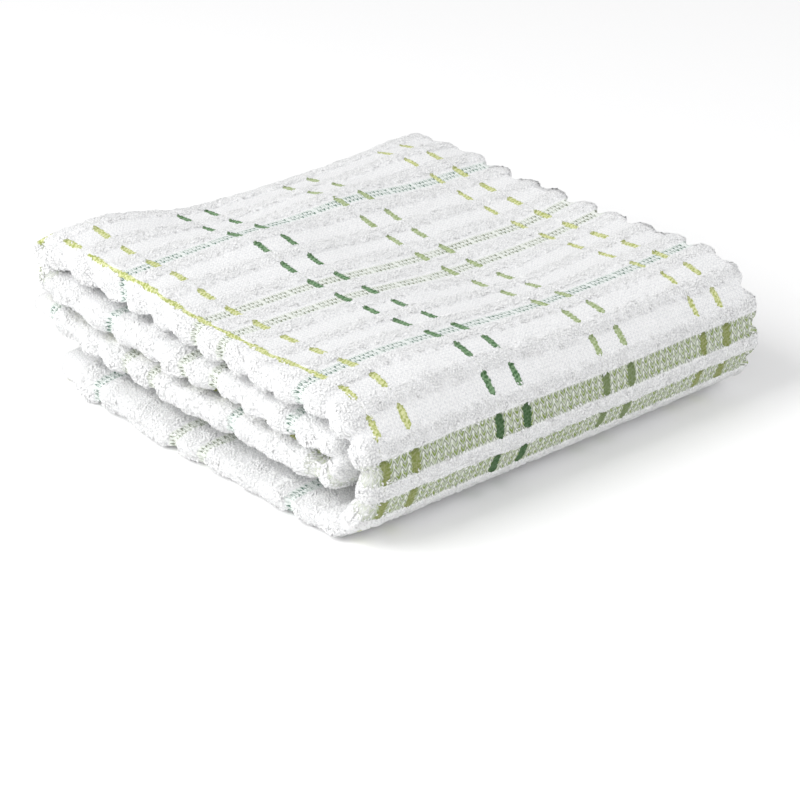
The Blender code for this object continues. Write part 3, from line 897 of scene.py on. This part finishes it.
def sow_loops(loop, seed, scale):
    """Geometry nodes that root a loop wherever the pile grows."""
    tree = bpy.data.node_groups.new("sow_loops", "GeometryNodeTree")
    tree.interface.new_socket("Geometry", in_out="INPUT", socket_type="NodeSocketGeometry")
    tree.interface.new_socket("Geometry", in_out="OUTPUT", socket_type="NodeSocketGeometry")
    source = tree.nodes.new("NodeGroupInput")
    result = tree.nodes.new("NodeGroupOutput")
    pile = put(tree, "GeometryNodeInputNamedAttribute", "pile", data_type="FLOAT")
    points = tree.nodes.new("GeometryNodeDistributePointsOnFaces")
    points.distribute_method = "POISSON"
    tree.links.new(source.outputs[0], points.inputs["Mesh"])
    points.inputs["Distance Min"].default_value = LOOP_SPACING
    points.inputs["Density Max"].default_value = LOOP_TRIES / (LOOP_SPACING * LOOP_SPACING)
    tree.links.new(pile.outputs[0], points.inputs["Density Factor"])
    points.inputs["Seed"].default_value = seed
    weave = put(tree, "ShaderNodeSeparateXYZ", put(
        tree, "GeometryNodeInputNamedAttribute", "weave", data_type="FLOAT_VECTOR").outputs[0])
    turned = reckon(tree, "FLOORED_MODULO", plus(tree, weave.outputs[0], 1.0), PATTERN_ACROSS)
    nearest = None
    for dash in DASHES:
        aside = absolute(tree, minus(tree, turned, dash.across + 1.0))
        nearest = aside if nearest is None else reckon(tree, "MINIMUM", nearest, aside)
    parted = put(tree, "FunctionNodeCompare", nearest, TRACE_PARTING, operation="LESS_THAN")
    kept = put(tree, "GeometryNodeDeleteGeometry", points.outputs["Points"], parted.outputs[0],
               domain="POINT")
    yarn = put(tree, "GeometryNodeObjectInfo", loop)
    turn = put(tree, "FunctionNodeRandomValue", data_type="FLOAT_VECTOR")
    turn.inputs[0].default_value = (-LOOP_LEAN, -LOOP_LEAN, 0.0)
    turn.inputs[1].default_value = (LOOP_LEAN, LOOP_LEAN, math.tau)
    spin = put(tree, "FunctionNodeRotateRotation", points.outputs["Rotation"],
               put(tree, "FunctionNodeEulerToRotation", turn.outputs[0]).outputs[0],
               rotation_space="LOCAL")
    clump = grain_at(tree, put(tree, "GeometryNodeInputPosition").outputs[0], LOOP_CLUMPS)
    smallest, largest = LOOP_SIZES
    size = put(tree, "ShaderNodeMapRange", clump.outputs[0], *CLUMP_RANGE,
               scale * smallest, scale * largest)
    stand = tree.nodes.new("GeometryNodeInstanceOnPoints")
    tree.links.new(kept.outputs[0], stand.inputs["Points"])
    tree.links.new(yarn.outputs["Geometry"], stand.inputs["Instance"])
    tree.links.new(spin.outputs[0], stand.inputs["Rotation"])
    tree.links.new(size.outputs[0], stand.inputs["Scale"])
    faced = put(tree, "GeometryNodeStoreNamedAttribute", data_type="FLOAT_VECTOR", domain="INSTANCE")
    faced.inputs["Name"].default_value = LIE
    tree.links.new(stand.outputs[0], faced.inputs["Geometry"])
    tree.links.new(points.outputs["Normal"], faced.inputs["Value"])
    real = put(tree, "GeometryNodeRealizeInstances", faced.outputs[0])
    tree.links.new(real.outputs[0], result.inputs[0])
    return tree


def make_pile(patch, seed, loop):
    """Loops on the ribs of one patch of the cloth."""
    bm = bmesh.new()
    bm.from_mesh(cloth.data)
    weave = bm.loops.layers.uv["weave"]
    pile_layer = bm.verts.layers.float["pile"]
    outside = []
    for face in bm.faces:
        across = sum(corner[weave].uv.x for corner in face.loops) / len(face.loops)
        rib = sum(corner[weave].uv.y for corner in face.loops) / len(face.loops)
        grows = max(vert[pile_layer] for vert in face.verts) > PILE_STARTS
        clear = face.calc_center_median().z > LOWEST_ROOT
        on_ribs = patch.last_rib < rib <= patch.first_rib
        beside = patch.across_low < across <= patch.across_high
        if not (grows and clear and on_ribs and beside):
            outside.append(face)
    bmesh.ops.delete(bm, geom=outside, context="FACES")
    mesh = bpy.data.meshes.new("ground")
    bm.to_mesh(mesh)
    bm.free()
    ground = bpy.data.objects.new("ground", mesh)
    bpy.context.scene.collection.objects.link(ground)
    modifier = ground.modifiers.new("loops", "NODES")
    modifier.node_group = sow_loops(loop, seed, patch.scale)
    bpy.context.view_layer.update()
    grown = bpy.data.meshes.new_from_object(
        ground.evaluated_get(bpy.context.evaluated_depsgraph_get()))
    bpy.data.objects.remove(ground)
    grown.name = patch.name
    grown.shade_smooth()
    pile = bpy.data.objects.new(patch.name, grown)
    bpy.context.scene.collection.objects.link(pile)
    grown.materials.clear()
    grown.materials.append(pile_material)
    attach(pile, "root")
    return pile


def make_pile_material():
    """Soft white cotton yarn, a little cooler and greyer here and there."""
    material = bpy.data.materials.new("terry_loops")
    material.use_nodes = True
    tree = material.node_tree
    shader = tree.nodes["Principled BSDF"]
    clouds = grain_at(tree, put(tree, "ShaderNodeTexCoord").outputs["Object"], YARN_CLOUDS)
    colour = blend_colours(tree, clouds.outputs[0], YARN_SHADE, YARN_WHITE)
    tree.links.new(colour, shader.inputs["Base Color"])
    shader.inputs["Roughness"].default_value = COTTON_ROUGHNESS
    shader.inputs["Specular IOR Level"].default_value = LOOP_SPECULAR
    soften(shader, LOOP_SOFTNESS)
    lie = put(tree, "ShaderNodeAttribute", attribute_name=LIE).outputs["Vector"]
    own = put(tree, "ShaderNodeNewGeometry").outputs["Normal"]
    leaned = put(tree, "ShaderNodeVectorMath", lie, put(
        tree, "ShaderNodeVectorMath", own, (LOOP_RELIEF,) * 3, operation="MULTIPLY").outputs[0])
    soft = put(tree, "ShaderNodeVectorMath", leaned.outputs[0], operation="NORMALIZE")
    tree.links.new(soft.outputs[0], shader.inputs["Normal"])
    return material


pile_material = make_pile_material()
loop = make_loop()
FIRST_SEED = 3
Patch = namedtuple("Patch", "name first_rib last_rib across_low across_high scale")
PATCHES = (
    Patch("front_pile", 14.6, 7.5, 0.0, 12.0, 1.1),
    Patch("top_pile", 7.5, 2.5, 0.0, 12.0, 1.0),
    Patch("back_pile", 2.5, -4.0, 0.0, 12.0, 1.0),
    Patch("left_pile", 25.0, -27.0, -2.6, 0.0, 1.3),
    Patch("right_pile", 25.0, -27.0, -16.0, -10.5, 1.1),
)
for seed, patch in enumerate(PATCHES, FIRST_SEED):
    make_pile(patch, seed, loop)
bpy.data.objects.remove(loop)


# The floor: a plain pale surface under the towel, and the soft light of a white studio.
FLOOR_HALF = 6.0
FLOOR_WHITE = paint(252, 252, 252)
bm = bmesh.new()
bmesh.ops.create_grid(bm, x_segments=1, y_segments=1, size=FLOOR_HALF)
floor_mesh = bpy.data.meshes.new("floor")
bm.to_mesh(floor_mesh)
bm.free()
floor = bpy.data.objects.new("floor", floor_mesh)
bpy.context.scene.collection.objects.link(floor)
floor_paint = bpy.data.materials.new("pale_floor")
floor_paint.use_nodes = True
floor_shader = floor_paint.node_tree.nodes["Principled BSDF"]
floor_shader.inputs["Base Color"].default_value = FLOOR_WHITE
floor_shader.inputs["Roughness"].default_value = 0.9
floor_mesh.materials.append(floor_paint)

Lamp = namedtuple("Lamp", "name place size power colour")
LAMP_WHITE = (1.0, 1.0, 1.0)
COOL_WHITE = (0.97, 0.975, 1.0)
ROOM_LIGHT = 0.61
LAMPS = (
    Lamp("left_window", (-1.0, 0.25, 0.95), 0.9, 13.6, LAMP_WHITE),
    Lamp("left_low", (-1.15, -0.75, 0.42), 0.9, 3.4, LAMP_WHITE),
    Lamp("front_fill", (1.3, -1.0, 0.8), 1.2, 8.2, COOL_WHITE),
)
for lamp in LAMPS:
    light = bpy.data.lights.new(lamp.name, "AREA")
    light.energy = lamp.power
    light.size = lamp.size
    light.color = lamp.colour
    holder = bpy.data.objects.new(lamp.name, light)
    holder.location = lamp.place
    holder.rotation_euler = Vector(lamp.place).to_track_quat("Z", "Y").to_euler()
    bpy.context.scene.collection.objects.link(holder)
studio = bpy.data.worlds.new("studio")
studio.use_nodes = True
room = studio.node_tree.nodes["Background"]
room.inputs["Color"].default_value = (*LAMP_WHITE, 1.0)
room.inputs["Strength"].default_value = ROOM_LIGHT
bpy.context.scene.world = studio
bpy.context.scene.view_settings.view_transform = "Standard"


# The camera: a long lens above the left front corner, as the towel was photographed.
CAMERA_TURN = math.radians(41.63)
CAMERA_DIP = math.radians(25.77)
LENS = 108.0
SENSOR_WIDTH = 36.0
FARTHEST = 20.0
# From the top's back left corner, which stands this far off the middle of the view
TO_RIGHT = 7.64 * RIB_PITCH
TO_TOP = -3.46 * RIB_PITCH
DISTANCE = 56.63 * RIB_PITCH
right = Vector((math.cos(CAMERA_TURN), -math.sin(CAMERA_TURN), 0.0))
ahead = Vector((math.sin(CAMERA_TURN) * math.cos(CAMERA_DIP),
                math.cos(CAMERA_TURN) * math.cos(CAMERA_DIP), -math.sin(CAMERA_DIP)))
up = right.cross(ahead)
corner = Vector((CREASE + MIDDLE_SHIFT, MIDDLE_PLACE, HEIGHT))
view = bpy.data.cameras.new("camera")
view.lens = LENS
view.sensor_width = SENSOR_WIDTH
view.clip_end = FARTHEST
camera = bpy.data.objects.new("camera", view)
aimed = Matrix((right, up, -ahead)).transposed().to_4x4()
aimed.translation = corner + TO_RIGHT * right + TO_TOP * up - DISTANCE * ahead
camera.matrix_world = aimed
bpy.context.scene.collection.objects.link(camera)
bpy.context.scene.camera = camera
